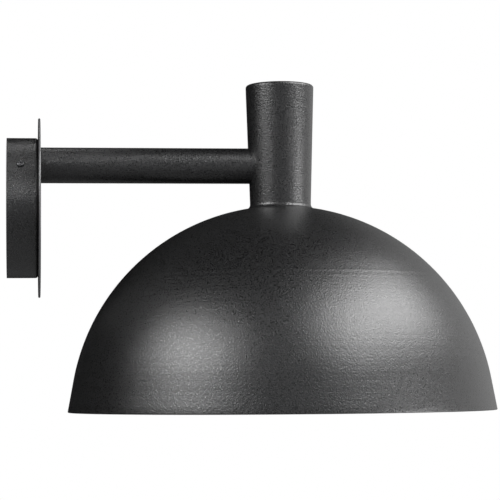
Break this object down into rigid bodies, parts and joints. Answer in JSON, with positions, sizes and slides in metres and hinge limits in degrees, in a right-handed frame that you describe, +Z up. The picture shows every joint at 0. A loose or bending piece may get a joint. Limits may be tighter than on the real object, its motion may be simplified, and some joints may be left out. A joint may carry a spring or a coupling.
{
  "type": "wall lamp",
  "caption": "Dome-shaded wall lamp on a straight arm, with a tapered closed neck, a round wall cup and disc, a screw-base holder with a sprung contact, and a pear-shaped bulb.",
  "frame": {"origin": "centre of the wall cup's open back, on the wall's surface", "axes": "+X leaves the wall along the arm, +Z up, the shade opens towards -Z"},
  "size_m": [0.342, 0.3, 0.2299],
  "materials": {
    "black_powder_coat": "satin fine-textured powder coat",
    "black_screw_steel": "blackened steel",
    "galvanised_steel": "galvanised",
    "zinc_plated_steel": "bright zinc plate",
    "brass": "machined",
    "tinned_brass": "tinned",
    "spring_steel": "drawn wire",
    "nickel_brass": "nickel plated",
    "natural_polyamide": "moulded",
    "black_polyamide": "moulded",
    "glazed_porcelain": "glazed porcelain",
    "black_phenolic": "moulded",
    "bulb_contact_brass": "tinned",
    "dark_glass": "glossy dark glass",
    "nickel_cap": "nickel plated",
    "white_bulb_plastic": "moulded",
    "opal_globe": "opal diffuser",
    "white_led_board": "white solder mask",
    "brown_insulation": "insulated wire",
    "blue_insulation": "insulated wire",
    "green_yellow_insulation": "insulated wire"
  },
  "bodies": {
    "fixture": {"mounting_plate": "galvanised_steel", "wall_cup": "black_powder_coat", "cup_side_screws": "black_screw_steel", "front_disc": "black_powder_coat", "arm_screws": "zinc_plated_steel", "arm_screw_washers": "zinc_plated_steel", "wall_end_plug": "galvanised_steel", "wire_bush": "black_polyamide", "terminal_block": "natural_polyamide", "block_clamps": "brass", "block_clamp_screws": "zinc_plated_steel", "block_screws": "zinc_plated_steel", "earth_lug": "tinned_brass", "earth_washer": "zinc_plated_steel", "earth_screw": "zinc_plated_steel", "arm_tube": "black_powder_coat", "neck": "black_powder_coat", "cross_bar": "galvanised_steel", "earth_receptacle": "tinned_brass", "dome_shade": "black_powder_coat", "shade_ring": "black_phenolic", "holder_body": "glazed_porcelain", "screw_shell": "nickel_brass", "holder_screws": "zinc_plated_steel", "contact_guide": "brass", "contact_spring": "spring_steel", "live_terminal": "brass", "neutral_terminal": "brass", "terminal_screws": "zinc_plated_steel", "live_wire": "brown_insulation", "neutral_wire": "blue_insulation", "earth_wire": "green_yellow_insulation", "plate_earth_wire": "green_yellow_insulation"},
    "contact": {"contact_plunger": "brass"},
    "bulb_lift": {"bulb_tip": "bulb_contact_brass"},
    "bulb": {"bulb_insulator": "dark_glass", "bulb_cap": "nickel_cap", "bulb_body": "white_bulb_plastic", "led_board": "white_led_board", "bulb_globe": "opal_globe"}
  },
  "joints": [
    {"name": "bulb_travel", "type": "slide", "parent": "fixture", "child": "bulb_lift", "axis": [0, 0, -1], "range_m": [0, 0.01452]},
    {"name": "bulb_turn", "type": "hinge", "parent": "bulb_lift", "child": "bulb", "pos_m": [0.192, 0, -0.03], "axis": [0, 0, -1], "range_deg": [0, 1440]},
    {"name": "contact_press", "type": "slide", "parent": "fixture", "child": "contact", "axis": [0, 0, 1], "range_m": [0, 0.0012], "stiffness_N_per_m": 1500, "springref_m": -0.001, "deforming": ["contact_spring"]}
  ],
  "couplings": [
    {"joint": "bulb_travel", "follows": "bulb_turn", "m_per_rad": 0.0005775}
  ]
}
